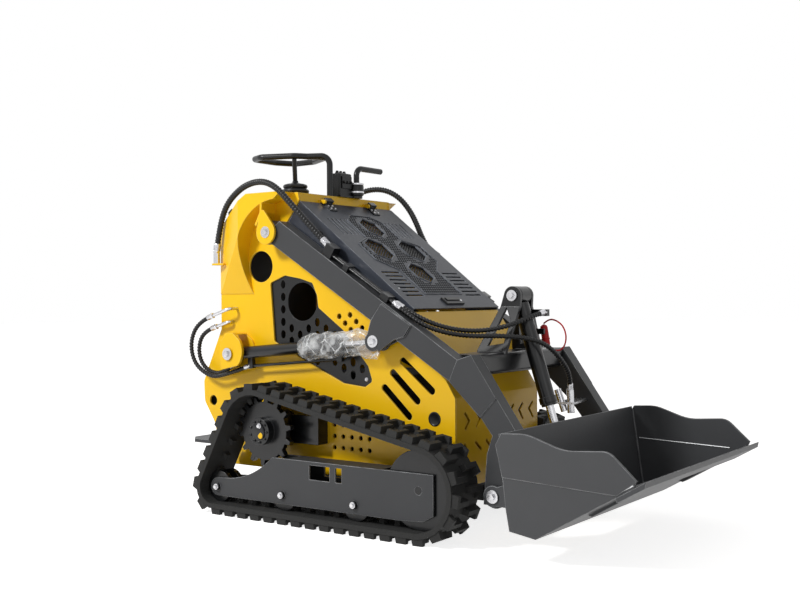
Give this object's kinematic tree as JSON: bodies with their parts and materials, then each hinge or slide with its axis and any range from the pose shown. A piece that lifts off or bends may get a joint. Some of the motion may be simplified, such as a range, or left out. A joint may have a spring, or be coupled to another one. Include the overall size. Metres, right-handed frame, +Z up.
{
  "type": "compact track loader",
  "caption": "Stand-on compact track loader with rubber tracks, twin lift arms, a tilting bucket, a perforated lifting hood and a fold-up footboard.",
  "frame": {"origin": "on the ground under the middle of the machine", "axes": "+X ahead to the bucket, +Y to the machine's left, +Z up"},
  "size_m": [2.328, 1.1, 1.5101],
  "materials": {
    "yellow_paint": "gloss powder coat",
    "dark_paint": "satin powder coat",
    "hood_paint": "satin powder coat",
    "bucket_paint": "satin powder coat",
    "black_paint": "gloss paint",
    "track_rubber": "moulded rubber",
    "hose_rubber": "spiral guarded hose",
    "engine_iron": null,
    "plated_steel": "zinc plated and chromed",
    "black_plastic": "moulded"
  },
  "bodies": {
    "chassis": {"belly_pan": "dark_paint", "board_hinge": "black_paint", "bottom_rollers_left": "black_paint", "bottom_rollers_right": "black_paint", "console_top": "yellow_paint", "control_block": "black_plastic", "control_handle": "black_plastic", "cross_beams": "dark_paint", "drive_motor_left": "black_paint", "drive_motor_right": "black_paint", "engine": "engine_iron", "far_handle": "black_plastic", "fitting_left": "plated_steel", "fitting_right": "plated_steel", "front_idler_left": "black_paint", "front_idler_right": "black_paint", "front_panel": "yellow_paint", "hose_lift_lower_left": "hose_rubber", "hose_lift_lower_right": "hose_rubber", "hose_lift_upper_left": "hose_rubber", "hose_lift_upper_right": "hose_rubber", "hose_loop_left": "hose_rubber", "hose_loop_right": "hose_rubber", "lower_ear_left": "yellow_paint", "lower_ear_right": "yellow_paint", "nose_panel": "yellow_paint", "rear_console": "black_plastic", "rear_panel": "dark_paint", "shoulder_left": "yellow_paint", "shoulder_right": "yellow_paint", "side_grille_left": "black_paint", "side_grille_right": "black_paint", "side_plate_left": "yellow_paint", "side_plate_right": "yellow_paint", "sprocket_left": "black_paint", "sprocket_right": "black_paint", "track_frame_left": "dark_paint", "track_frame_right": "dark_paint", "track_left": "track_rubber", "track_right": "track_rubber"},
    "arms": {"arm_left": "dark_paint", "arm_pipe_left": "black_paint", "arm_pipe_right": "black_paint", "arm_right": "dark_paint", "couplers": "plated_steel", "cross_member": "black_paint", "hose_tilt_lower": "hose_rubber", "hose_tilt_upper": "hose_rubber"},
    "lift_barrel_right": {"lift_barrel_right": "black_paint"},
    "lift_barrel_left": {"lift_barrel_left": "black_paint"},
    "lift_rod_right": {"lift_rod_right": "plated_steel"},
    "lift_rod_left": {"lift_rod_left": "plated_steel"},
    "tilt_barrel": {"tilt_barrel": "black_paint"},
    "tilt_rod": {"tilt_rod": "plated_steel"},
    "bucket": {"bucket": "bucket_paint", "cutting_edge": "bucket_paint", "quick_attach": "bucket_paint"},
    "hood": {"hood": "hood_paint", "hood_mesh": "black_paint"},
    "footboard": {"footboard": "dark_paint"}
  },
  "joints": [
    {"name": "lift", "type": "hinge", "parent": "chassis", "child": "arms", "pos_m": [-0.547, 0, 1.158], "axis": [0, -1, 0], "range_deg": [0, 70], "deforming": ["hose_loop_left", "hose_loop_right"]},
    {"name": "lift_barrel_right_swing", "type": "hinge", "parent": "chassis", "child": "lift_barrel_right", "pos_m": [-0.763, -0.3545, 0.653], "axis": [0, -1, 0], "range_deg": [0, 42], "deforming": ["hose_lift_lower_right", "hose_lift_upper_right"]},
    {"name": "lift_barrel_left_swing", "type": "hinge", "parent": "chassis", "child": "lift_barrel_left", "pos_m": [-0.763, 0.3545, 0.653], "axis": [0, -1, 0], "range_deg": [0, 42], "deforming": ["hose_lift_lower_left", "hose_lift_upper_left"]},
    {"name": "lift_rod_right_slide", "type": "slide", "parent": "lift_barrel_right", "child": "lift_rod_right", "axis": [0.9961, 0, 0.0878], "range_m": [0, 0.43]},
    {"name": "lift_rod_left_slide", "type": "slide", "parent": "lift_barrel_left", "child": "lift_rod_left", "axis": [0.9961, 0, 0.0878], "range_m": [0, 0.43]},
    {"name": "bucket_tilt", "type": "hinge", "parent": "arms", "child": "bucket", "pos_m": [0.53, 0, 0.185], "axis": [0, 1, 0], "range_deg": [0, 70]},
    {"name": "tilt_barrel_swing", "type": "hinge", "parent": "arms", "child": "tilt_barrel", "pos_m": [0.413, 0, 0.892], "axis": [0, -1, 0], "range_deg": [0, 3]},
    {"name": "tilt_rod_slide", "type": "slide", "parent": "tilt_barrel", "child": "tilt_rod", "axis": [0.2976, 0, -0.9547], "range_m": [0, 0.16]},
    {"name": "hood_open", "type": "hinge", "parent": "chassis", "child": "hood", "pos_m": [-0.41571, 0, 1.29037], "axis": [0, -1, 0], "range_deg": [0, 60]},
    {"name": "footboard_fold", "type": "hinge", "parent": "chassis", "child": "footboard", "pos_m": [-0.905, 0, 0.248], "axis": [0, 1, 0], "range_deg": [0, 85]}
  ],
  "couplings": [
    {"joint": "lift_barrel_right_swing", "follows": "lift", "ratio": 0.597},
    {"joint": "lift_barrel_left_swing", "follows": "lift", "ratio": 0.597},
    {"joint": "lift_rod_right_slide", "follows": "lift", "m_per_rad": 0.3485},
    {"joint": "lift_rod_left_slide", "follows": "lift", "m_per_rad": 0.3485},
    {"joint": "tilt_barrel_swing", "follows": "bucket_tilt", "ratio": 0.04},
    {"joint": "tilt_rod_slide", "follows": "bucket_tilt", "m_per_rad": 0.1274}
  ]
}
